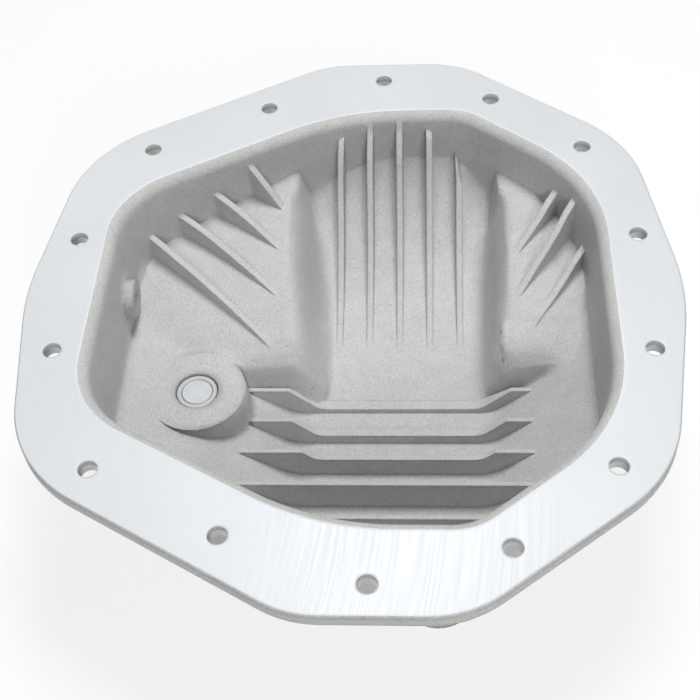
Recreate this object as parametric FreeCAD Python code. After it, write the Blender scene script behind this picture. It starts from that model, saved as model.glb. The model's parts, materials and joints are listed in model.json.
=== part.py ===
import FreeCAD, Part
import math
import os
from FreeCAD import Vector

# Cast differential cover with its fill plug, drain plug and port plug, in millimetres.
# The origin is the middle of the machined flange face. X runs across the cover, Y runs up it
# as it is bolted on, and Z points out of the face, towards the axle. The bowl lies below z = 0.

# Flange: a rounded polygon, the same above and below the middle line.
flange_thickness = 8.0
flange_half_height = 188.6
flange_right_tip = 172.6
flange_left_tip = 173.9
flange_right_shoulder = (154.0, 114.6)
flange_left_shoulder = (158.8, 111.5)
flange_top_right = 57.6
flange_top_left = 22.0
flange_tip_radius = 150.0
flange_shoulder_radius = 75.0
flange_top_radius = 55.0
flange_edge_chamfer = 0.7

# Bolt pattern: half of it, the rest mirrored about the middle line.
bolt_hole_diameter = 9.5
side_bolts_x = 151.6
side_bolts_y = 39.75
bolt_pairs = ((13.0, 172.5), (76.9, 153.8), (127.3, 110.2), (-55.1, 148.4), (-120.6, 112.6))

# Mouth of the bowl, measured where its walls meet the flange face.
mouth_half_height = 144.2
mouth_right = 135.4
mouth_left = 136.6
mouth_right_shoulder_y = 84.7
mouth_left_shoulder_y = 74.7
mouth_top_right = 61.1
mouth_top_left = 11.3
mouth_right_radius = 90.0
mouth_left_radius = 52.0
mouth_top_right_radius = 30.0
mouth_top_left_radius = 140.0

# Bowl.
wall = 6.0
wall_draft = 6.0
sump_depth = 93.0
sump_left = -35.6
sump_right = 74.3
left_bank_knee = (-86.0, -63.3)
left_bank_slope = 11.0
left_bank_radius = 40.0
right_bank_slope = 37.5
bank_foot_radius = 25.0
ramp_foot_y = -8.5
ramp_foot_radius = 60.0
ramp_knee = (105.1, -76.3)
ramp_knee_radius = 146.0
ramp_top_slope = 51.5

# Shoulders on both sides of the ring gear channel, which is measured at the sump's depth.
channel_left = -18.0
channel_right = 71.0
channel_left_draft = 18.0
channel_right_draft = 9.5
shoulder_end = 1.0
shoulder_end_depth = 62.5
shoulder_corner_radius = 12.0
shoulder_knee = (38.9, -37.3)
shoulder_knee_radius = 160.0
shoulder_top_slope = 6.5
shoulder_low_slope = 30.0
left_shoulder_level_x = -45.0
left_shoulder_fall = 7.4
right_shoulder_level_end = 103.0
right_shoulder_fall = 14.0

# Room for the ring gear, which turns about a line along X above the flange face.
gear_axis_height = 56.0
gear_room_radius = 146.5
gear_room_left = -22.5
gear_room_right = 68.5
gear_room_side_slope = 40.0
gear_room_corner_radius = 12.0

# Fins of the channel, standing along Y.
channel_fin_count = 5
channel_fin_pitch = 17.75
channel_fin_middle = 22.5
channel_fin_thickness = 3.6
channel_fin_top = -3.5
channel_fin_arch_x = 14.0
channel_fin_arch_radius = 50.0
channel_fin_top_slope = 40.0
channel_fin_top_run = 25.0
channel_fin_start = 14.0

# Fins of the sump, standing along X.
sump_fin_count = 5
sump_fin_pitch = 21.1
sump_fin_first_y = -6.2
sump_fin_crest_depth = 76.0
sump_fin_crest_width = 2.6
sump_fin_draft = 8.0

# Slanting fins of the shoulders: inner end, angle and the depth where the crest meets the wall.
slant_fin_thickness = 4.0
slant_fin_crest_radius = 330.0
slant_fin_sink = 0.8
left_fin_angle = 140.0
left_fin_inner_x = -45.0
left_fin_inner_y = (94.4, 65.2, 36.0, 6.7)
left_fin_wall_depth = (8.5, 20.0, 26.0, 29.0)
right_fin_angle = 52.5
right_fin_inner_x = 88.3
right_fin_inner_y = (60.0, 33.5, 7.0)
right_fin_wall_depth = (17.5, 12.0, 30.0)

# Fins on the outside: five under the channel and one more on each side of the sump.
# Laid down with its mouth up, the cover rests on their straight edges.
outer_fin_thickness = 4.0
outer_fin_start = -88.0
outer_fin_heel = 95.0
outer_fin_heel_radius = 30.0
outer_fin_end_radius = 8.0
outer_fin_wall_depth = 45.0
outer_side_fin_end = -18.0
rest_depth = 112.0

# Fill and drain plugs: collar, hexagon, magnet in the end and sealing ring under the collar.
plug_radius = 12.0
plug_thread_clearance = 0.1
plug_collar_radius = 16.0
plug_collar_thickness = 3.0
plug_hex_flats = 22.0
plug_hex_height = 4.0
magnet_radius = 8.6
magnet_length = 6.0
seal_radius = 15.5
seal_thickness = 1.5

# Bosses that the two plugs screw into.
fill_x = -88.0
fill_y = -20.0
fill_boss_depth = 59.0
fill_boss_radius = 27.0
fill_seat_depth = 80.0
fill_seat_radius = 20.0
drain_x = 44.0
drain_y = -121.0
drain_boss_depth = 88.0
drain_boss_radius = 16.0
drain_seat_depth = 101.0
drain_seat_radius = 20.0
boss_draft = 6.0
plug_end_recess = 0.8

# Sensor port through the left wall, closed by a pipe plug.
port_y = 29.5
port_depth = 38.0
port_bore_radius = 4.2
port_inner_x = -127.0
port_inner_radius = 11.0
port_outer_x = -146.0
port_outer_radius = 12.0
port_plug_radius = 6.5
port_plug_length = 10.0
port_plug_stand = 1.0
port_plug_socket_flats = 5.5
port_plug_socket_depth = 5.0

far = 170.0
same_point = 0.01


def tan(angle):
    return math.tan(math.radians(angle))


def on_level(u, v, at):
    return Vector(u, v, at)


def on_side(u, v, at):
    return Vector(at, u, v)


def on_front(u, v, at):
    return Vector(u, at, v)


def grown(corners, grow):
    """The corners of an anticlockwise polygon whose sides have all moved outwards by grow."""
    moved = []
    for i in range(len(corners)):
        here = Vector(corners[i][0], corners[i][1], 0)
        before = Vector(corners[i - 1][0], corners[i - 1][1], 0)
        after = Vector(corners[(i + 1) % len(corners)][0], corners[(i + 1) % len(corners)][1], 0)
        along_in = (here - before).normalize()
        along_out = (after - here).normalize()
        both = Vector(along_in.y + along_out.y, -along_in.x - along_out.x, 0)
        moved.append(here + both * (2.0 * grow / both.dot(both)))
    return moved


def rounded_face(corners, place, at, grow=0.0):
    """A face with corners (u, v, radius), rounded where the radius isn't zero."""
    points = grown(corners, grow)
    starts = []
    middles = []
    ends = []
    for i in range(len(points)):
        here = points[i]
        back = (points[i - 1] - here).normalize()
        ahead = (points[(i + 1) % len(points)] - here).normalize()
        outward = back.cross(ahead).z < 0
        radius = corners[i][2]
        if radius > 0:
            radius += grow if outward else -grow
        half = math.acos(back.dot(ahead)) / 2.0
        starts.append(here + back * (radius / math.tan(half)))
        ends.append(here + ahead * (radius / math.tan(half)))
        middles.append(here + (back + ahead).normalize() * (radius / math.sin(half) - radius))
    edges = []
    for i in range(len(points)):
        if corners[i][2] > 0:
            three = [place(p.x, p.y, at) for p in (starts[i], middles[i], ends[i])]
            edges.append(Part.Arc(*three).toShape())
        nearest = starts[(i + 1) % len(points)]
        two = [place(p.x, p.y, at) for p in (ends[i], nearest)]
        edges.append(Part.LineSegment(*two).toShape())
    return Part.Face(Part.Wire(edges))


def drafted(corners, top, low, draft, grow=0.0):
    """A solid between two levels whose sides lean by the draft, true to size at z = 0."""
    top_points = [Vector(p.x, p.y, top) for p in grown(corners, grow + top * tan(draft))]
    low_points = [Vector(p.x, p.y, low) for p in grown(corners, grow + low * tan(draft))]
    faces = [Part.Face(Part.makePolygon(ring + ring[:1])) for ring in (top_points, low_points)]
    for i in range(len(corners)):
        quad = [top_points[i - 1], top_points[i], low_points[i], low_points[i - 1], top_points[i - 1]]
        faces.append(Part.Face(Part.makePolygon(quad)))
    body = Part.makeSolid(Part.makeShell(faces))
    for i in range(len(corners)):
        if corners[i][2] > 0:
            body = body.makeFillet(corners[i][2] + grow, edges_between(body, top_points[i], low_points[i]))
    return body


def edges_between(body, start, end):
    """The edges of a body that run between two points."""
    found = []
    for edge in body.Edges:
        tips = [vertex.Point for vertex in edge.Vertexes]
        if len(tips) == 2 and all(min((tip - p).Length for tip in tips) < same_point for p in (start, end)):
            found.append(edge)
    return found


def mirrored(upper):
    """Corners of the upper half, going anticlockwise, with the same ones mirrored below."""
    return upper + [(x, -y, r) for x, y, r in reversed(upper) if y > 0]


def cone(x, y, top, low, radius, draft):
    """An upright round boss with its given radius at the top level."""
    low_radius = radius + (top - low) * tan(draft)
    return Part.makeCone(low_radius, radius, top - low, Vector(x, y, low))


def cylinder(x, y, top, low, radius):
    return Part.makeCylinder(radius, top - low, Vector(x, y, low))


def hexagon(flats, height):
    """An upright six-sided bar on the origin."""
    reach = flats / math.sqrt(3.0)
    angles = [i * math.pi / 3.0 for i in range(6)]
    ring = [Vector(reach * math.cos(angle), reach * math.sin(angle), 0) for angle in angles]
    return Part.Face(Part.makePolygon(ring + ring[:1])).extrude(Vector(0, 0, height))


def bolt_places():
    upper = list(bolt_pairs) + [(side_bolts_x, side_bolts_y), (-side_bolts_x, side_bolts_y)]
    return upper + [(x, -y) for x, y in upper]


def flange():
    outline = mirrored([
        (flange_right_tip, 0.0, flange_tip_radius),
        (*flange_right_shoulder, flange_shoulder_radius),
        (flange_top_right, flange_half_height, flange_top_radius),
        (-flange_top_left, flange_half_height, flange_top_radius),
        (-flange_left_shoulder[0], flange_left_shoulder[1], flange_shoulder_radius),
        (-flange_left_tip, 0.0, flange_tip_radius),
    ])
    plate = rounded_face(outline, on_level, 0.0).extrude(Vector(0, 0, -flange_thickness))
    rims = [edge for edge in plate.Edges if edge.BoundBox.ZLength < same_point]
    return plate.makeChamfer(flange_edge_chamfer, rims)


def mouth():
    return mirrored([
        (mouth_right, mouth_right_shoulder_y, mouth_right_radius),
        (mouth_top_right, mouth_half_height, mouth_top_right_radius),
        (-mouth_top_left, mouth_half_height, mouth_top_left_radius),
        (-mouth_left, mouth_left_shoulder_y, mouth_left_radius),
    ])


def basin(side_grow, floor_grow, top):
    """The bowl without its shoulders: leaning walls, floor, banks and ramp."""
    rim = drafted(mouth(), top, -sump_depth - floor_grow - wall, wall_draft, side_grow)
    left_bank = left_bank_knee[1] + (far + left_bank_knee[0]) * tan(left_bank_slope)
    right_bank = -sump_depth + (far - sump_right) * tan(right_bank_slope)
    across = [
        (-far, far, 0), (-far, left_bank, 0), (*left_bank_knee, left_bank_radius),
        (sump_left, -sump_depth, bank_foot_radius), (sump_right, -sump_depth, bank_foot_radius),
        (far, right_bank, 0), (far, far, 0),
    ]
    ramp_top = ramp_knee[1] + (far - ramp_knee[0]) * tan(ramp_top_slope)
    along = [
        (-far, far, 0), (-far, -sump_depth, 0), (ramp_foot_y, -sump_depth, ramp_foot_radius),
        (*ramp_knee, ramp_knee_radius), (far, ramp_top, 0), (far, far, 0),
    ]
    room = rim.common(rounded_face(across, on_front, -far, floor_grow).extrude(Vector(0, 2 * far, 0)))
    return room.common(rounded_face(along, on_side, -far, floor_grow).extrude(Vector(2 * far, 0, 0)))


def bowl(side_grow, floor_grow, top):
    """The room inside the bowl; grown, it is the outside of the casting."""
    room = basin(side_grow, floor_grow, top)
    for core in shoulders(floor_grow):
        room = room.cut(core)
    return room.removeSplitter()


def shoulder_block(edge_x, far_x, draft, grow, body):
    """One shoulder: its sectioned body cut to a plan whose sides lean outwards with depth."""
    low = -sump_depth - 2 * wall
    end = shoulder_end + shoulder_end_depth * tan(draft)
    inward = sump_depth * tan(draft) * (1 if far_x > edge_x else -1)
    plan = [(edge_x + inward, end, shoulder_corner_radius), (far_x, end, 0),
            (far_x, far, 0), (edge_x + inward, far, 0)]
    if far_x < edge_x:
        plan = plan[::-1]
    return body.common(drafted(plan, 0.0, low, -draft, -grow))


def shoulders(grow):
    """The two raised banks that the ring gear channel runs between."""
    low_y = shoulder_end - shoulder_end_depth
    low_z = shoulder_knee[1] - (shoulder_knee[0] - low_y) * tan(shoulder_low_slope)
    top_z = shoulder_knee[1] + (far - shoulder_knee[0]) * tan(shoulder_top_slope)
    section = [
        (low_y, -far, 0), (far, -far, 0), (far, top_z, 0), (*shoulder_knee, shoulder_knee_radius),
        (low_y, low_z, 0),
    ]
    start = channel_left + wall
    run = far + start
    left = rounded_face(section, on_side, start, -grow)
    left = left.extrude(Vector(-run, 0, -run * tan(left_shoulder_fall)))
    left.translate(Vector(0, 0, (start - left_shoulder_level_x) * tan(left_shoulder_fall)))
    start = channel_right - wall
    level = right_shoulder_level_end - start
    right = rounded_face(section, on_side, start, -grow).extrude(Vector(level, 0, 0))
    run = far - right_shoulder_level_end
    beyond = rounded_face(section, on_side, right_shoulder_level_end, -grow)
    right = right.fuse(beyond.extrude(Vector(run, 0, -run * tan(right_shoulder_fall))))
    return (shoulder_block(channel_left, -far, channel_left_draft, grow, left),
            shoulder_block(channel_right, far, channel_right_draft, grow, right))


def gear_room():
    """What the turning ring gear sweeps, with its clearance."""
    reach = gear_room_radius / tan(gear_room_side_slope)
    outline = [
        (gear_room_left, -gear_room_radius, gear_room_corner_radius),
        (gear_room_right, -gear_room_radius, gear_room_corner_radius),
        (gear_room_right + reach, 0.0, 0), (gear_room_left - reach, 0.0, 0),
    ]
    swept = rounded_face(outline, on_front, 0.0).revolve(Vector(0, 0, 0), Vector(1, 0, 0), 360)
    swept.translate(Vector(0, 0, gear_axis_height))
    return swept


def channel_fin_places():
    first = channel_fin_middle - (channel_fin_count - 1) * channel_fin_pitch / 2.0
    return [first + i * channel_fin_pitch for i in range(channel_fin_count)]


def channel_fins():
    """Fins along the channel, arched at the top, where they lean back from the mouth."""
    wall_y = mouth_half_height
    low_y = channel_fin_start
    run_y = wall_y - channel_fin_top_run
    run_z = channel_fin_top - channel_fin_top_run * tan(channel_fin_top_slope)
    section = [
        (low_y, -far, 0), (far, -far, 0), (far, channel_fin_top, 0), (wall_y, channel_fin_top, 0),
        (run_y, run_z, 0), (low_y, run_z, 0),
    ]
    arch_z = channel_fin_top - channel_fin_arch_radius
    arch = Part.makeCylinder(channel_fin_arch_radius, 2 * far,
                             Vector(channel_fin_arch_x, 0, arch_z), Vector(0, 1, 0))
    under = Part.makeBox(2 * channel_fin_arch_radius, 2 * far, far,
                         Vector(channel_fin_arch_x - channel_fin_arch_radius, 0, arch_z - far))
    arch = arch.fuse(under)
    arch.translate(Vector(0, low_y, 0))
    fins = []
    for x in channel_fin_places():
        face = rounded_face(section, on_side, x - channel_fin_thickness / 2.0)
        fins.append(face.extrude(Vector(channel_fin_thickness, 0, 0)).common(arch))
    return fins


def sump_fins():
    """Fins across the sump, thicker towards the root."""
    fins = []
    crest = sump_fin_crest_width / 2.0
    root = crest + (far - sump_fin_crest_depth) * tan(sump_fin_draft)
    for i in range(sump_fin_count):
        y = sump_fin_first_y - i * sump_fin_pitch
        section = [(y - root, -far, 0), (y + root, -far, 0), (y + crest, -sump_fin_crest_depth, 0),
                   (y - crest, -sump_fin_crest_depth, 0)]
        fins.append(rounded_face(section, on_side, -far).extrude(Vector(2 * far, 0, 0)))
    return fins


def shoulder_level(y):
    """Height of the shoulders' level part: a straight run, the rounded knee, a steeper straight run."""
    half = math.radians(shoulder_low_slope - shoulder_top_slope) / 2.0
    lean = math.radians(shoulder_low_slope + shoulder_top_slope) / 2.0
    reach = shoulder_knee_radius / math.cos(half)
    centre_y = shoulder_knee[0] + reach * math.sin(lean)
    centre_z = shoulder_knee[1] - reach * math.cos(lean)
    from_centre = centre_y - y
    if from_centre > shoulder_knee_radius * math.sin(math.radians(shoulder_low_slope)):
        return shoulder_knee[1] + (y - shoulder_knee[0]) * tan(shoulder_low_slope)
    if from_centre < shoulder_knee_radius * math.sin(math.radians(shoulder_top_slope)):
        return shoulder_knee[1] + (y - shoulder_knee[0]) * tan(shoulder_top_slope)
    return centre_z + math.sqrt(shoulder_knee_radius ** 2 - from_centre ** 2)


def mouth_reach(x, y, angle):
    """How far it is from a point to the mouth line, going at an angle."""
    face = rounded_face(mouth(), on_level, 0.0)
    ahead = Vector(math.cos(math.radians(angle)), math.sin(math.radians(angle)), 0)
    line = Part.LineSegment(Vector(x, y, 0), Vector(x, y, 0) + ahead * 2 * far).toShape()
    return line.common(face).Length


def slant_fin(x, y, angle, wall_depth):
    """A fin from the wall to a point on the shoulder, where its arched crest runs out."""
    length = mouth_reach(x, y, angle)
    start = Vector(0, 0, shoulder_level(y) - slant_fin_sink)
    end = Vector(length, 0, -wall_depth)
    half_chord = (end - start).Length / 2.0
    bulge = half_chord ** 2 / (2.0 * slant_fin_crest_radius)
    middle = (start + end) * 0.5 + Vector(0, 0, bulge)
    crest = Part.Arc(start, middle, end).toShape()
    outline = [end, Vector(length + wall, 0, -wall_depth), Vector(length + wall, 0, -far),
               Vector(0, 0, -far), start]
    rest = [Part.LineSegment(a, b).toShape() for a, b in zip(outline, outline[1:])]
    fin = Part.Face(Part.Wire([crest] + rest)).extrude(Vector(0, slant_fin_thickness, 0))
    fin.translate(Vector(0, -slant_fin_thickness / 2.0, 0))
    fin.rotate(Vector(0, 0, 0), Vector(0, 0, 1), angle)
    fin.translate(Vector(x, y, 0))
    return fin


def slant_fins():
    fins = []
    for y, depth in zip(left_fin_inner_y, left_fin_wall_depth):
        fins.append(slant_fin(left_fin_inner_x, y, left_fin_angle, depth))
    for y, depth in zip(right_fin_inner_y, right_fin_wall_depth):
        fins.append(slant_fin(right_fin_inner_x, y, right_fin_angle, depth))
    return fins


def outer_fins():
    """Cooling fins on the outside, in line with the fins of the channel."""
    top = -flange_thickness / 2.0
    wall_y = mouth_half_height + wall
    long_side = [
        (outer_fin_start, -rest_depth, outer_fin_end_radius),
        (outer_fin_heel, -rest_depth, outer_fin_heel_radius),
        (wall_y, -outer_fin_wall_depth, outer_fin_heel_radius),
        (wall_y, top, 0), (outer_fin_start, top, 0),
    ]
    short_side = [
        (outer_fin_start, -rest_depth, outer_fin_end_radius),
        (outer_side_fin_end, -rest_depth, outer_fin_end_radius),
        (outer_side_fin_end, top, 0), (outer_fin_start, top, 0),
    ]
    places = channel_fin_places()
    outlines = [(x, long_side) for x in places]
    outlines += [(places[0] - channel_fin_pitch, short_side), (places[-1] + channel_fin_pitch, short_side)]
    fins = []
    for x, outline in outlines:
        face = rounded_face(outline, on_side, x - outer_fin_thickness / 2.0)
        fins.append(face.extrude(Vector(outer_fin_thickness, 0, 0)))
    return fins


def outer_bosses():
    top = -flange_thickness / 2.0
    fill = cone(fill_x, fill_y, -fill_boss_depth, -fill_seat_depth, fill_seat_radius, -boss_draft)
    drain = cylinder(drain_x, drain_y, top, -drain_seat_depth, drain_seat_radius)
    port = Part.makeCylinder(port_outer_radius, port_inner_x - port_outer_x,
                             Vector(port_outer_x, port_y, -port_depth), Vector(1, 0, 0))
    return [fill, drain, port]


def inner_bosses():
    fill = cone(fill_x, fill_y, -fill_boss_depth, -fill_seat_depth, fill_boss_radius, boss_draft)
    drain = cone(drain_x, drain_y, -drain_boss_depth, -drain_seat_depth, drain_boss_radius, boss_draft)
    port = Part.makeCylinder(port_inner_radius, port_inner_x - port_outer_x,
                             Vector(port_outer_x, port_y, -port_depth), Vector(1, 0, 0))
    return [fill, drain, port]


def bores():
    """Bolt holes, the two plug threads and the sensor port with the seat of its plug."""
    cut = [cylinder(x, y, wall, -far, bolt_hole_diameter / 2.0) for x, y in bolt_places()]
    cut.append(cylinder(fill_x, fill_y, -fill_boss_depth + wall, -far, plug_radius))
    cut.append(cylinder(drain_x, drain_y, -drain_boss_depth + wall, -far, plug_radius))
    through = Part.makeCylinder(port_bore_radius, far, Vector(-far, port_y, -port_depth), Vector(1, 0, 0))
    inner = Part.makeBox(far, 2 * far, far, Vector(port_inner_x + wall, -far, -far))
    cut.append(through.cut(inner))
    seat = Part.makeCylinder(port_plug_radius, port_plug_length - port_plug_stand,
                             Vector(port_outer_x, port_y, -port_depth), Vector(1, 0, 0))
    cut.append(seat)
    return cut


def cover_casting():
    hollow = bowl(0.0, 0.0, wall)
    embedded = bowl(wall / 2.0, wall / 2.0, 0.0)
    room = gear_room()
    body = flange().fuse([bowl(wall, wall, -flange_thickness / 2.0)] + outer_fins() + outer_bosses())
    body = body.cut(hollow)
    trimmed = [fin.common(embedded).cut(room) for fin in channel_fins() + sump_fins()]
    plain = [fin.common(embedded) for fin in slant_fins() + inner_bosses()]
    body = body.fuse(trimmed + plain)
    return body.cut(bores()).removeSplitter()


def plug(x, y, boss_depth, seat_depth):
    """A threaded plug with collar and hexagon; its end holds a round magnet."""
    end = -boss_depth - plug_end_recess
    collar_top = -seat_depth - seal_thickness
    collar_low = collar_top - plug_collar_thickness
    thread = cylinder(x, y, end, collar_low, plug_radius - plug_thread_clearance)
    collar = cylinder(x, y, collar_top, collar_low, plug_collar_radius)
    head = hexagon(plug_hex_flats, plug_hex_height)
    head.translate(Vector(x, y, collar_low - plug_hex_height))
    pocket = cylinder(x, y, end, end - magnet_length, magnet_radius)
    return thread.fuse([collar, head]).cut(pocket).removeSplitter()


def plug_magnet(x, y, boss_depth):
    end = -boss_depth - plug_end_recess
    return cylinder(x, y, end, end - magnet_length, magnet_radius)


def plug_seal(x, y, seat_depth):
    low = -seat_depth - seal_thickness
    ring = cylinder(x, y, -seat_depth, low, seal_radius)
    return ring.cut(cylinder(x, y, -seat_depth, low, plug_radius))


def sensor_port_plug():
    """A pipe plug with a hexagon socket, screwed into the port from outside."""
    start = Vector(port_outer_x - port_plug_stand, port_y, -port_depth)
    body = Part.makeCylinder(port_plug_radius, port_plug_length, start, Vector(1, 0, 0))
    socket = hexagon(port_plug_socket_flats, port_plug_socket_depth)
    socket.rotate(Vector(0, 0, 0), Vector(0, 1, 0), 90)
    socket.translate(start)
    return body.cut(socket)


parts = {
    "cover_casting": cover_casting(),
    "fill_plug": plug(fill_x, fill_y, fill_boss_depth, fill_seat_depth),
    "fill_plug_magnet": plug_magnet(fill_x, fill_y, fill_boss_depth),
    "fill_plug_seal": plug_seal(fill_x, fill_y, fill_seat_depth),
    "drain_plug": plug(drain_x, drain_y, drain_boss_depth, drain_seat_depth),
    "drain_plug_magnet": plug_magnet(drain_x, drain_y, drain_boss_depth),
    "drain_plug_seal": plug_seal(drain_x, drain_y, drain_seat_depth),
    "sensor_port_plug": sensor_port_plug(),
}
os.makedirs("parts", exist_ok=True)
for name, shape in parts.items():
    shape.exportStep("parts/" + name + ".step")
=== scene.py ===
import json
import math

import bmesh
import bpy
import numpy as np
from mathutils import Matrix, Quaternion, Vector
from mathutils.bvhtree import BVHTree


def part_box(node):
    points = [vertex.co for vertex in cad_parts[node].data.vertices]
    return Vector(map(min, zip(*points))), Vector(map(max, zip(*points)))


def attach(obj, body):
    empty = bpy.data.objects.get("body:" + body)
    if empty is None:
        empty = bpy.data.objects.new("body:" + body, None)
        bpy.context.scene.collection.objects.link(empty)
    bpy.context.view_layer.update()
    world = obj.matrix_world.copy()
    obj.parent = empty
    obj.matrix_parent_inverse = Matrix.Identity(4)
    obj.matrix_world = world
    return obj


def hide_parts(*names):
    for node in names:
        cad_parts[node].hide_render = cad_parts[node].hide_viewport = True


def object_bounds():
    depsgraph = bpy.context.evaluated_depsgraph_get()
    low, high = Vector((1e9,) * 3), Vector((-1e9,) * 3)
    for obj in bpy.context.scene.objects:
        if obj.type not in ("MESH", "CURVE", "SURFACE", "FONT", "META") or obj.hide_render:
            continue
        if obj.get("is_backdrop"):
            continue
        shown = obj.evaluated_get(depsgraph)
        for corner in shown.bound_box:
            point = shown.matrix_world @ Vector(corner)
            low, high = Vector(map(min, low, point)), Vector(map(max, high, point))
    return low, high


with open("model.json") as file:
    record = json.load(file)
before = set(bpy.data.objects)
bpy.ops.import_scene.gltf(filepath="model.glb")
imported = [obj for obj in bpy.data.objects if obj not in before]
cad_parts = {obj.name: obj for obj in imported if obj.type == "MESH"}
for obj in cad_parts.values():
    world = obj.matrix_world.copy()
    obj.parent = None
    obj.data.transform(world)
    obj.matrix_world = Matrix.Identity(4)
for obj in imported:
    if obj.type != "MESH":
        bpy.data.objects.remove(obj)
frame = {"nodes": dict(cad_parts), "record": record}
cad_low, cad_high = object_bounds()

nodes = frame["nodes"]
mounts = {mount["name"]: mount for mount in frame["record"]["mounts"]}


# The casting: aluminium poured in a sand mould, so its skin is matt and finely grained. Only the
# flange face is milled and only the holes are drilled, and there the bare metal is brighter.
mm_per_metre = 1000
side_bolts = mounts["side_bolts"]["dims"]
hole_radius = side_bolts["hole_r_mm"] / mm_per_metre
side_x = side_bolts["spacing_x_mm"] / 2 / mm_per_metre
side_y = side_bolts["spacing_y_mm"] / 2 / mm_per_metre
hole_places = [(side_x, side_y), (-side_x, side_y)]
for mount in mounts.values():
    if mount["dims"].get("count") == 2:
        hole_places.append((mount["pos_m"][0], mount["dims"]["spacing_y_mm"] / 2 / mm_per_metre))


class Value:
    """A number or colour that varies over a surface; arithmetic on it adds Math nodes."""

    def __init__(self, tree, socket=None):
        self.tree = tree
        self.socket = socket

    def node(self, kind, settings=(), output=0, **values):
        """Another node of the same material, its settings made first, then its values and links.
        A value called i3 goes to the input numbered 3, and any other to the input of its name."""
        made = self.tree.nodes.new(kind)
        for name, setting in dict(settings).items():
            setattr(made, name, setting)
        for name, value in values.items():
            key = int(name[1:]) if name[1:].isdigit() else name.replace("_", " ")
            if isinstance(value, Value):
                self.tree.links.new(value.socket, made.inputs[key])
            else:
                made.inputs[key].default_value = value
        return Value(self.tree, made.outputs[output] if made.outputs else None)

    def maths(self, operation, first, second=0.0):
        return self.node("ShaderNodeMath", {"operation": operation}, i0=first, i1=second)

    def __add__(self, other):
        return self.maths("ADD", self, other)

    def __sub__(self, other):
        return self.maths("SUBTRACT", self, other)

    def __rsub__(self, other):
        return self.maths("SUBTRACT", other, self)

    def __mul__(self, other):
        return self.maths("MULTIPLY", self, other)

    def __gt__(self, other):
        return self.maths("GREATER_THAN", self, other)

    def __lt__(self, other):
        return self.maths("LESS_THAN", self, other)

    __radd__ = __add__
    __rmul__ = __mul__

    def larger(self, other):
        return self.maths("MAXIMUM", self, other)

    def hypotenuse(self, other):
        """The square root of this value's square plus the other's."""
        return self.maths("SQRT", self * self + other * other)

    def ramp(self, low, high, start=0.0, end=1.0):
        """From start to end while the value goes from low to high, without a jump at either."""
        settings = {"interpolation_type": "SMOOTHSTEP"}
        return self.node("ShaderNodeMapRange", settings, i0=self, i1=low, i2=high, i3=start, i4=end)

    def spread(self, start, end):
        """From start to end over the middle of a noise's range, where most of its values lie."""
        return self.ramp(0.3, 0.7, start, end)

    def between(self, low, high, fade=0.004):
        """1 from low to high, falling to 0 within the fade beyond either."""
        return self.ramp(low - fade, low) * self.ramp(high, high + fade, 1.0, 0.0)

    def mixed(self, first, second):
        """The first colour where this mask is 0 and the second where it is 1."""
        return self.node("ShaderNodeMix", {"data_type": "RGBA"}, output=2, i0=self, i6=first, i7=second)

    def leaning(self, first, second):
        """The first normal where this mask is 0, the second where it is 1, and between them a mean."""
        mean = self.node("ShaderNodeMix", {"data_type": "VECTOR"}, output=1, i0=self, i4=first, i5=second)
        return self.node("ShaderNodeVectorMath", {"operation": "NORMALIZE"}, i0=mean)

    def tinted(self, colour, by):
        """A colour scaled by a number."""
        return self.node("ShaderNodeVectorMath", {"operation": "SCALE"}, i0=colour, i3=by)

    def noise(self, at, scale, detail=2.0, rough=0.5):
        return self.node("ShaderNodeTexNoise", i0=at, Scale=scale, Detail=detail, Roughness=rough)

    def bump(self, height, distance, strength, normal):
        return self.node("ShaderNodeBump", Height=height, Distance=distance, Strength=strength, Normal=normal)

    def softened(self, radius, samples=8):
        """Normals that turn smoothly round each edge, within a radius."""
        return self.node("ShaderNodeBevel", {"samples": samples}, Radius=radius)


def finish(name, **fixed):
    """A new material: its surface shader, an unlinked Value to build with, and its object coordinates."""
    made = bpy.data.materials.new(name)
    made.use_nodes = True
    shader = made.node_tree.nodes["Principled BSDF"]
    for socket, value in fixed.items():
        shader.inputs[socket.replace("_", " ")].default_value = value
    start = Value(made.node_tree)
    return made, shader, start, start.node("ShaderNodeTexCoord", output="Object")


def feed(shader, **links):
    """Each value is linked to the input of the shader that has its name."""
    for socket, value in links.items():
        value.tree.links.new(value.socket, shader.inputs[socket.replace("_", " ")])


def placed(name, data):
    """A new object of the scene that shows a mesh, a lamp or a camera."""
    made = bpy.data.objects.new(name, data)
    bpy.context.scene.collection.objects.link(made)
    return made


def seat(piece, node, material):
    """The piece stands for a CAD node, which is hidden; it takes the given material and hangs from the root
    body.
    """
    piece.data.materials.append(material)
    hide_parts(node)
    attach(piece, "root")


# Mouth: its edge is a rounded lip that runs into the milled face. The walls are cut level at some
# depths near the edge, and the bowl's side of them then follows a quarter circle.
lip_radius = 0.0055
lip_spread = 0.0015
lip_steps = 8
lip_reach = 0.022
wall_foot = 0.095
wall_slope = math.tan(math.radians(6.0))
half_wall = 0.003
steep = 0.5
hole_margin = 1.5 * hole_radius
hair = 0.00001
weld = hair / 10


def numbers(items, name, width, kind=float):
    """One property of all the items of a mesh as a numpy array."""
    found = np.empty(len(items) * width, dtype=kind)
    items.foreach_get(name, found)
    return found.reshape(-1, width) if width > 1 else found


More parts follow.
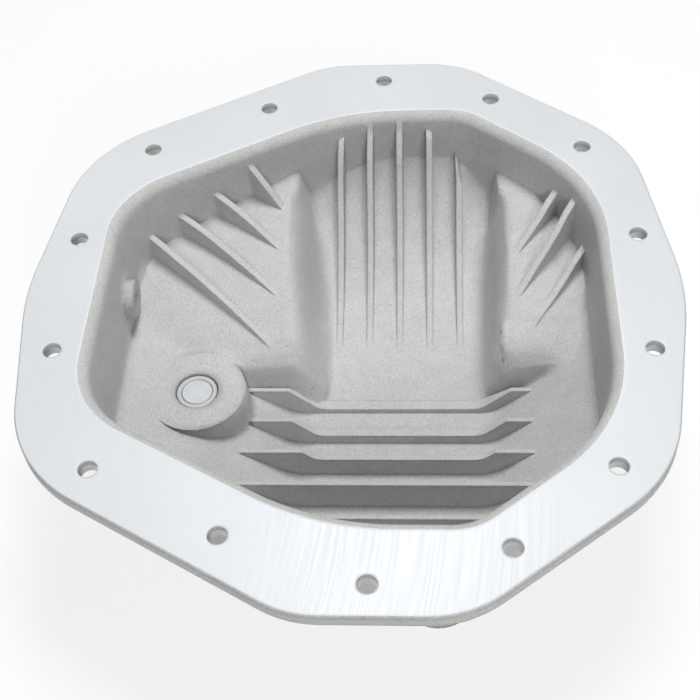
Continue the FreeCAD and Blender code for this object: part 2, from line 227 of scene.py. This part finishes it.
def round_mouth(mesh, points):
    """The lip: a point near the mouth's edge, on the bowl's side of the wall, moves level inwards,
    square to the nearest stretch of that edge. At a depth within the lip's radius it moves by the
    height of a quarter circle there, less the lip's spread, and below that by an amount that falls
    evenly to nothing at the foot of the deepest wall. It moves less the farther it is from the
    edge, and not at all beyond the lip's reach."""
    ends = numbers(mesh.edges, "vertices", 2, int)
    in_face = (points[ends, 2] > -hair).all(axis=1)
    keys = {key: index for index, key in enumerate(mesh.edge_keys)}
    stretches = []
    for face in mesh.polygons:
        inwards = face.normal.x * face.center.x + face.normal.y * face.center.y < 0.0
        if inwards and abs(face.normal.z) < steep:
            upper = [keys[key] for key in face.edge_keys if in_face[keys[key]]]
            stretches += [(index, *face.normal.xy.normalized()) for index in upper]
    stretches = np.array(stretches)
    edge, inward = stretches[:, 0].astype(int), stretches[:, 1:]
    first, last = points[ends[edge, 0], :2], points[ends[edge, 1], :2]
    holes = np.array([(x, sign * y) for x, y in hole_places for sign in (1, -1)])
    at_mouth = np.linalg.norm(first[:, None] - holes, axis=2).min(axis=1) > hole_margin
    first, run, inward = first[at_mouth], (last - first)[at_mouth], inward[at_mouth]

    offset = points[:, None, :2] - first
    share = ((offset * run).sum(axis=2) / (run * run).sum(axis=1)).clip(0.0, 1.0)
    aside = offset - share[..., None] * run
    nearest = np.linalg.norm(aside, axis=2).argmin(axis=1)
    inward = inward[nearest]
    from_edge = (aside[np.arange(len(points)), nearest] * inward).sum(axis=1)

    depth = -points[:, 2]
    rise = lip_radius - depth.clip(0.0, lip_radius)
    quarter = np.sqrt(lip_radius ** 2 - rise ** 2) - lip_spread
    falling = (1.0 - (depth - lip_radius) / (wall_foot - lip_radius)).clip(0.0, 1.0)
    move = np.where(depth < lip_radius, quarter, (lip_radius - lip_spread) * falling)
    move *= ((lip_reach - from_edge) / (lip_reach - lip_radius)).clip(0.0, 1.0)
    move *= from_edge > depth * wall_slope - half_wall
    points[:, :2] += inward * move[:, None]
    return in_face


shape = bmesh.new()
shape.from_mesh(nodes["cover_casting"].data)
bmesh.ops.remove_doubles(shape, verts=shape.verts, dist=weld)
for step in range(1, lip_steps + 1):
    level = lip_radius * (math.cos(math.pi / 2 * step / lip_steps) - 1.0)
    cut = shape.verts[:] + shape.edges[:] + shape.faces[:]
    bmesh.ops.bisect_plane(shape, geom=cut, dist=weld, plane_co=(0, 0, level), plane_no=(0, 0, 1))

# Shoulders: both sides of the channel and the lower edges of the banks are rounded much more than
# the fins. Each is cut into small squares, seen from above, and its heights are then evened.
left_shoulder = ((-0.044, -0.0155), (-0.002, 0.107))
right_shoulder = ((0.0612, 0.0870), (-0.002, 0.107))
left_bank_edge = ((-0.080, -0.036), (-0.003, 0.0125))
right_bank_edge = ((0.078, 0.124), (-0.003, 0.024))
shoulders = (left_shoulder, right_shoulder, left_bank_edge, right_bank_edge)
square = 0.00125
upward = 0.02
bell_width = 0.0036
fade_width = 0.005
probe_step = 0.001
probe_top = 0.01
skin_depth = 0.0045


def even_heights(points, spans, bowl):
    """Each point of the bowl's surface over a rectangle takes the mean height round it, weighted by
    a bell curve of its distance. The change fades to nothing towards the rectangle's sides, and
    points deeper than the skin, on the outside of the wall, stay."""
    down = Vector((0.0, 0.0, -1.0))
    sides = [np.arange(low, high, probe_step) for low, high in spans]
    heights = np.empty((len(sides[0]), len(sides[1])))
    for row, x in enumerate(sides[0]):
        for column, y in enumerate(sides[1]):
            heights[row, column] = bowl.ray_cast(Vector((x, y, probe_top)), down)[0].z
    bells, nearest = [], []
    share = np.ones(len(points))
    for k, (low, high) in enumerate(spans):
        bell = np.exp(-0.5 * ((points[:, k, None] - sides[k]) / bell_width) ** 2)
        bells.append(bell / (bell.sum(axis=1, keepdims=True) + np.finfo(float).tiny))
        probe = ((points[:, k] - low) / probe_step).round().astype(int)
        nearest.append(probe.clip(0, len(sides[k]) - 1))
        share *= (np.minimum(points[:, k] - low, high - points[:, k]) / fade_width).clip(0.0, 1.0)
    inside = points[:, 2] > heights[nearest[0], nearest[1]] - skin_depth
    mean = ((bells[0] @ heights) * bells[1]).sum(axis=1)
    share = share * share * (3.0 - 2.0 * share) * inside
    points[:, 2] += share * (mean - points[:, 2])


bowl = BVHTree.FromBMesh(shape)
for spans in shoulders:
    patch = []
    for face in shape.faces:
        corner = np.array([vert.co for vert in face.verts])
        starts_before = all(corner[:, k].min() < spans[k][1] for k in (0, 1))
        ends_after = all(corner[:, k].max() > spans[k][0] for k in (0, 1))
        in_bowl = face.normal.z > upward and corner[:, 2].max() < -lip_radius
        if starts_before and ends_after and in_bowl:
            patch.append(face)
    for (low, high), across_cut in zip(spans, ((1.0, 0.0, 0.0), (0.0, 1.0, 0.0))):
        for level in np.arange(low, high + square, square):
            cut = {vert for face in patch for vert in face.verts}
            cut |= {edge for face in patch for edge in face.edges}
            found = bmesh.ops.bisect_plane(
                shape, geom=list(cut) + patch, dist=hair, plane_co=[level] * 3, plane_no=across_cut
            )
            patch = [item for item in found["geom"] if isinstance(item, bmesh.types.BMFace)]
    bmesh.ops.triangulate(shape, faces=patch)

cast_mesh = bpy.data.meshes.new("rounded_casting")
shape.to_mesh(cast_mesh)
shape.free()
if "custom_normal" in cast_mesh.attributes:
    cast_mesh.attributes.remove(cast_mesh.attributes["custom_normal"])
points = numbers(cast_mesh.vertices, "co", 3)
for spans in shoulders:
    even_heights(points, spans, bowl)
in_face = round_mouth(cast_mesh, points)
cast_mesh.vertices.foreach_set("co", points.ravel())
cast_mesh.shade_smooth()
cast_mesh.set_sharp_from_angle(angle=math.radians(25))
sharp = numbers(cast_mesh.attributes["sharp_edge"].data, "value", 1, bool) | in_face
cast_mesh.attributes["sharp_edge"].data.foreach_set("value", sharp)
casting = placed("rounded_casting", cast_mesh)

aluminium, metal, start, place = finish("cast_aluminium", IOR=1.45)
across = start.node("ShaderNodeSeparateXYZ", i0=place, output="X")
along = start.node("ShaderNodeSeparateXYZ", i0=place, output="Y")
height = start.node("ShaderNodeSeparateXYZ", i0=place, output="Z")
facing = start.node("ShaderNodeNewGeometry", output="True Normal")
upright = start.node("ShaderNodeSeparateXYZ", i0=facing, output="Z")
nearly_level = 0.99
margin = 0.0002
milled = (upright > nearly_level) * (height > -margin)

mirrored_along = start.maths("ABSOLUTE", along)
from_hole = None
for hole_x, hole_y in hole_places:
    reach = (across - hole_x).hypotenuse(mirrored_along - hole_y)
    from_hole = reach if from_hole is None else start.maths("MINIMUM", from_hole, reach)
drilled = (from_hole < hole_radius + margin) * (1.0 - milled)

# Rounded corners: wide ones where walls, banks and bosses meet, and narrow ones on the fins, which
# stand in the channel, on the slope below it and slanting across both banks. A slanting row lies
# between two parallel lines: its band bounds Y plus the slant times X plus the shift.
channel_x, channel_y = (-0.015, 0.061), (-0.012, 0.180)
slope_x, slope_y = (-0.098, 0.104), (-0.125, 0.004)
left_x, left_band, left_slant, left_shift = (-0.200, -0.041), (-0.004, 0.106), 0.839, 0.0378
right_x, right_band, right_slant, right_shift = (0.083, 0.200), (-0.006, 0.072), -1.303, 0.1151
boss_x, boss_y = -0.088, -0.020
boss_edge, boss_clear = 0.030, 0.033
fins_below, fins_full_below = -0.006, -0.012
in_channel = across.between(*channel_x) * along.between(*channel_y)
on_slope = across.between(*slope_x) * along.between(*slope_y)
left_row = (along + left_slant * across + left_shift).between(*left_band) * across.between(*left_x)
right_row = (along + right_slant * across + right_shift).between(*right_band) * across.between(*right_x)
off_boss = (across - boss_x).hypotenuse(along - boss_y).ramp(boss_edge, boss_clear)
fields = in_channel.larger(left_row).larger(right_row).larger(on_slope * off_boss)
finned = fields * height.ramp(fins_full_below, fins_below, 1.0, 0.0)
narrow_corners = start.softened(0.0018)
wide_corners = start.softened(0.010)

# Sand skin: broad tone, blotches where the metal cooled unevenly, and grain of about half a
# millimetre with pits between the grains.
pit_shade = 0.08
broad = start.noise(place, scale=14.0)
blotch = start.noise(place, scale=90.0, detail=3.0)
grain = start.noise(place, scale=1500.0, detail=3.0, rough=0.6)
pits = start.noise(place, scale=520.0, rough=0.7).ramp(0.30, 0.44)
skin_tone = broad.spread(0.96, 1.03) * blotch.spread(0.975, 1.02)
skin_tone = skin_tone * grain.spread(0.83, 1.12) * (1.0 - pit_shade + pit_shade * pits)
skin = start.tinted((0.56, 0.56, 0.556), skin_tone)
skin_rough = grain.spread(0.66, 0.56)
corners = finned.leaning(wide_corners, narrow_corners)
skin_relief = grain + 0.6 * pits + 0.5 * blotch
skin_normal = start.bump(skin_relief, distance=0.0003, strength=0.7, normal=corners)

# Milled face: a wide cutter leaves arcs about its own centre, far out to the left of the cover.
# They are noise that changes fast with the distance from that centre and slowly with the angle.
cutter_x = -0.31
cutter_y = -0.12
from_cutter = across - cutter_x
above_cutter = along - cutter_y
sweep = from_cutter.hypotenuse(above_cutter)
turn = start.maths("ARCTAN2", above_cutter, from_cutter)
arc_place = start.node("ShaderNodeCombineXYZ", X=sweep * 900.0, Y=turn * 6.0)
arcs = start.noise(arc_place, scale=1.0)
cloud = start.noise(place, scale=9.0, detail=1.0)
face_tone = arcs.spread(0.985, 1.01) * cloud.ramp(0.35, 0.65, 0.98, 1.02)
face = start.tinted((0.90, 0.935, 0.965), face_tone)
face_rough = arcs.spread(0.34, 0.44)
face_normal = start.bump(arcs, distance=0.00001, strength=0.5, normal=narrow_corners)

# Drilled walls: rings from the drill's lips, one above the other, which are noise of the height.
bore_rough = 0.4
rings = start.noise(start.node("ShaderNodeCombineXYZ", Z=height * 2600.0), scale=1.0, detail=1.0)
bore_tone = start.tinted((0.66, 0.66, 0.66), rings.spread(0.85, 1.08))

skin_metallic = 0.1
bare = milled + drilled
feed(
    metal,
    Base_Color=milled.mixed(drilled.mixed(skin, bore_tone), face),
    Metallic=skin_metallic + (1.0 - skin_metallic) * bare,
    Roughness=skin_rough * (1.0 - bare) + face_rough * milled + bore_rough * drilled,
    Normal=milled.leaning(skin_normal, face_normal),
)
seat(casting, "cover_casting", aluminium)


# Plugs: turned from steel bar with a rolled thread, a collar and a milled hexagon, then plated.
# The fill plug screws into the left bank and the drain plug into the foot of the bowl. Each holds
# a round magnet in its end, flush with it, that catches filings, and seals on a soft ring.
around = 144
thread_radius = 0.0119
thread_pitch = 0.0015
thread_depth = 0.0008
thread_rows = 6
lead_in = 0.0009
soft_edge = 0.0003
magnet_gap = 0.00015
hex_flats = 0.022
hex_height = 0.004
hex_chamfer = 0.0012
hex_steps = 7
hex_face_radius = 0.0106
hex_corner_radius = 0.0127
wide = 0.05


def turned(name, stations, centre, lying=False, ring=False):
    """A closed surface turned about an upright line, or about a line along X if it is lying.
    A station is (level, radius, width across flats or 0, thread depth). The radius at an angle is the
    smaller of the round one and the hexagon's, less the thread depth times a zigzag that repeats
    once per pitch along the level and climbs one pitch per turn. A radius of wide is beyond every
    hexagon here, so only the hexagon counts there."""
    level, radius, flats, depth = (column[:, None] for column in np.array(stations).T)
    angle = np.linspace(0.0, 2 * np.pi, around, endpoint=False)[None, :]
    from_flat = (angle + np.pi / 6) % (np.pi / 3) - np.pi / 6
    hexagonal = np.where(flats > 0, flats / 2 / np.cos(from_flat), wide)
    zigzag = np.abs(((level / thread_pitch - angle / (2 * np.pi)) % 1.0) * 2.0 - 1.0)
    reach = np.minimum(radius, hexagonal) - depth * zigzag
    first = reach * np.cos(angle)
    second = reach * np.sin(angle)
    third = level + 0.0 * angle
    order = (third, first, second) if lying else (first, second, third)
    points = np.stack(order, axis=-1).reshape(-1, 3) + np.array(centre)
    corner = np.arange(len(stations) * around).reshape(-1, around)
    below = np.roll(corner, -1, axis=0) if ring else corner[1:]
    above = corner if ring else corner[:-1]
    quads = np.stack([above, below, np.roll(below, -1, axis=1), np.roll(above, -1, axis=1)], axis=-1)
    faces = quads.reshape(-1, 4).tolist()
    if not ring:
        faces += [corner[0].tolist(), corner[-1][::-1].tolist()]
    mesh = bpy.data.meshes.new(name)
    mesh.from_pydata(points.tolist(), [], faces)
    shape = bmesh.new()
    shape.from_mesh(mesh)
    bmesh.ops.recalc_face_normals(shape, faces=shape.faces)
    shape.to_mesh(mesh)
    shape.free()
    mesh.shade_smooth()
    mesh.set_sharp_from_angle(angle=math.radians(25))
    return placed(name, mesh)


def lathed(name, centre, tone, rough):
    """Lathe-turned metal: fine rings about the part's axis, faint stains and softly broken edges."""
    material, shader, start, place = finish(name, Metallic=1.0)
    local = start.node("ShaderNodeMapping", i0=place, Location=[-part for part in centre])
    across = start.node("ShaderNodeSeparateXYZ", i0=local, output="X")
    along = start.node("ShaderNodeSeparateXYZ", i0=local, output="Y")
    from_axis = across.hypotenuse(along)
    rings = start.noise(start.node("ShaderNodeCombineXYZ", X=from_axis * 3200.0), scale=1.0)
    stain = start.noise(place, scale=160.0, detail=3.0)
    feed(
        shader,
        Base_Color=start.tinted(tone, rings.spread(0.94, 1.03) * stain.ramp(0.35, 0.65, 0.95, 1.02)),
        Roughness=rings.spread(rough, rough + 0.1) + stain * 0.06,
        Normal=start.bump(rings, distance=0.00002, strength=0.4, normal=start.softened(0.0002)),
    )
    return material


for side in ("fill", "drain"):
    plug_low, plug_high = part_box(side + "_plug")
    magnet_low, magnet_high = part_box(side + "_plug_magnet")
    seal_low, seal_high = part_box(side + "_plug_seal")
    centre = ((plug_low.x + plug_high.x) / 2, (plug_low.y + plug_high.y) / 2, 0.0)
    collar_radius = (plug_high.x - plug_low.x) / 2
    pocket_radius = (magnet_high.x - magnet_low.x) / 2
    magnet_radius = pocket_radius - magnet_gap
    seal_radius = (seal_high.x - seal_low.x) / 2
    end = plug_high.z
    collar_low = plug_low.z + hex_height

    profile = [
        (magnet_low.z, pocket_radius, 0, 0),
        (end - soft_edge, pocket_radius, 0, 0),
        (end, pocket_radius + soft_edge, 0, 0),
        (end, thread_radius - lead_in, 0, 0),
    ]
    for level in np.arange(end - lead_in, seal_low.z + lead_in, -thread_pitch / thread_rows):
        deepening = min(1.0, (end - lead_in - level) / thread_pitch)
        profile.append((level, thread_radius, 0, thread_depth * deepening))
    profile += [
        (seal_low.z + lead_in, thread_radius - thread_depth, 0, 0),
        (seal_low.z, thread_radius - thread_depth, 0, 0),
        (seal_low.z, collar_radius - soft_edge, 0, 0),
        (seal_low.z - soft_edge, collar_radius, 0, 0),
        (collar_low + soft_edge, collar_radius, 0, 0),
        (collar_low, collar_radius - soft_edge, 0, 0),
        (collar_low, wide, hex_flats, 0),
    ]
    for share in np.linspace(0.0, 1.0, hex_steps):
        cone_radius = hex_corner_radius + (hex_face_radius - hex_corner_radius) * share
        profile.append((plug_low.z + hex_chamfer * (1.0 - share), cone_radius, hex_flats, 0))
    plug = turned(side + "_plug_threaded", profile, centre)
    plating = lathed(side + "_plug_plating", centre, tone=(0.74, 0.75, 0.77), rough=0.26)
    seat(plug, side + "_plug", plating)

    profile = [
        (magnet_low.z, magnet_radius, 0, 0),
        (magnet_high.z - soft_edge, magnet_radius, 0, 0),
        (magnet_high.z, magnet_radius - soft_edge, 0, 0),
    ]
    disc = turned(side + "_magnet_disc", profile, centre)
    nickel = lathed(side + "_magnet_nickel", centre, tone=(0.80, 0.84, 0.85), rough=0.30)
    seat(disc, side + "_plug_magnet", nickel)

    hole = thread_radius + magnet_gap
    profile = [
        (seal_high.z, hole + soft_edge, 0, 0),
        (seal_high.z, seal_radius - soft_edge, 0, 0),
        (seal_high.z - soft_edge, seal_radius, 0, 0),
        (seal_low.z + soft_edge, seal_radius, 0, 0),
        (seal_low.z, seal_radius - soft_edge, 0, 0),
        (seal_low.z, hole + soft_edge, 0, 0),
        (seal_low.z + soft_edge, hole, 0, 0),
        (seal_high.z - soft_edge, hole, 0, 0),
    ]
    seal = turned(side + "_seal_ring", profile, centre, ring=True)
    soft_metal = lathed(side + "_seal_aluminium", centre, tone=(0.80, 0.80, 0.81), rough=0.42)
    seat(seal, side + "_plug_seal", soft_metal)


# Port plug: a short headless pipe plug with a hexagon socket, screwed into the sensor port from
# outside until it stands a thread or so proud of the boss.
socket_flats = 0.0055
socket_depth = 0.005
taper = 0.03
port_low, port_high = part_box("sensor_port_plug")
port_radius = (port_high.y - port_low.y) / 2
port_centre = (0.0, (port_low.y + port_high.y) / 2, (port_low.z + port_high.z) / 2)
profile = [
    (port_low.x + socket_depth, wide, socket_flats, 0),
    (port_low.x + soft_edge, wide, socket_flats, 0),
    (port_low.x, wide, socket_flats + 2 * soft_edge, 0),
    (port_low.x, port_radius - 2 * soft_edge, 0, 0),
    (port_low.x + 2 * soft_edge, port_radius, 0, 0),
]
for level in np.arange(port_low.x + 2 * soft_edge, port_high.x - lead_in, thread_pitch / thread_rows):
    profile.append((level, port_radius - (level - port_low.x) * taper, 0, thread_depth / 2))
profile.append((port_high.x, port_radius - lead_in, 0, 0))
port_plug = turned("port_plug_threaded", profile, port_centre, lying=True)
port_plating = lathed("port_plug_plating", port_centre, tone=(0.70, 0.71, 0.72), rough=0.32)
seat(port_plug, "sensor_port_plug", port_plating)


# Surroundings: a white table in an even white room. A wide lamp stands behind and above the cover,
# a weaker one low in front of it, and a faint one shows only as sheen in bare metal.
floor_reach = 6.0
floor_show = 0.8
floor_gap = 0.0002
room_light = 0.12


def seen(sight):
    """1 for a ray from the camera, or one off or through a shiny surface, which meets the
    surroundings as plain white, and 0 for the rays that light the cover."""
    kinds = ("Is Camera Ray", "Is Glossy Ray", "Is Transmission Ray")
    camera_ray, glossy_ray, clear_ray = (sight.node("ShaderNodeLightPath", output=kind) for kind in kinds)
    return camera_ray + glossy_ray + clear_ray


def lamp(name, width, power, location, lights_metal):
    """A square lamp aimed at the middle of the flange face."""
    light = bpy.data.lights.new(name, "AREA")
    light.size = width
    light.energy = power
    stand = placed(name, light)
    stand.location = location
    stand.rotation_euler = (-Vector(location)).to_track_quat("-Z", "Y").to_euler()
    stand.visible_glossy = lights_metal


corners = [(x * floor_reach, y * floor_reach) for x, y in ((-1, -1), (1, -1), (1, 1), (-1, 1))]
floor_mesh = bpy.data.meshes.new("floor")
floor_mesh.from_pydata([(x, y, cad_low.z - floor_gap) for x, y in corners], [], [(0, 1, 2, 3)])
floor = placed("floor", floor_mesh)
paper = bpy.data.materials.new("white_floor")
paper.use_nodes = True
paper.node_tree.nodes.clear()
sight = Value(paper.node_tree)
matt = sight.node("ShaderNodeBsdfDiffuse", Color=(0.9, 0.9, 0.9, 1.0))
glow = sight.node("ShaderNodeEmission", Color=(1.0, 1.0, 1.0, 1.0), Strength=1.0)
both = sight.node("ShaderNodeMixShader", i0=seen(sight) * floor_show, i1=matt, i2=glow)
sight.node("ShaderNodeOutputMaterial", Surface=both)
floor.data.materials.append(paper)
floor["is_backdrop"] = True

world = bpy.data.worlds.new("white_room")
bpy.context.scene.world = world
world.use_nodes = True
world.node_tree.nodes.clear()
sight = Value(world.node_tree)
air = sight.node("ShaderNodeBackground", Strength=room_light + seen(sight) * (1.0 - room_light))
sight.node("ShaderNodeOutputWorld", Surface=air)

lamp("soft_box", width=0.5, power=19.0, location=(0.1, 0.35, 1.35), lights_metal=False)
lamp("front_box", width=0.5, power=9.0, location=(0.3, -1.3, 0.75), lights_metal=False)
lamp("sheen_box", width=0.4, power=0.55, location=(0.0, 0.53, 1.2), lights_metal=True)


# Camera: above and in front of the cover, a little to its right and turned slightly clockwise. It
# looks down at about 50 degrees, so that the bowl shows its floor and its far wall.
camera_data = bpy.data.cameras.new("camera")
camera_data.sensor_width = 36.0
camera_data.lens = 65.16
camera = placed("camera", camera_data)
bpy.context.scene.camera = camera
azimuth = math.radians(5.8)
elevation = math.radians(50.05)
roll = math.radians(-4.67)
level_part = math.cos(elevation)
sight_line = Vector((-math.sin(azimuth) * level_part, math.cos(azimuth) * level_part, -math.sin(elevation)))
camera.location = (0.04171, -0.44587, 0.48659)
camera.rotation_mode = "QUATERNION"
camera.rotation_quaternion = sight_line.to_track_quat("-Z", "Y") @ Quaternion((0.0, 0.0, 1.0), roll)

bpy.context.scene.view_settings.view_transform = "Standard"

low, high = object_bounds()
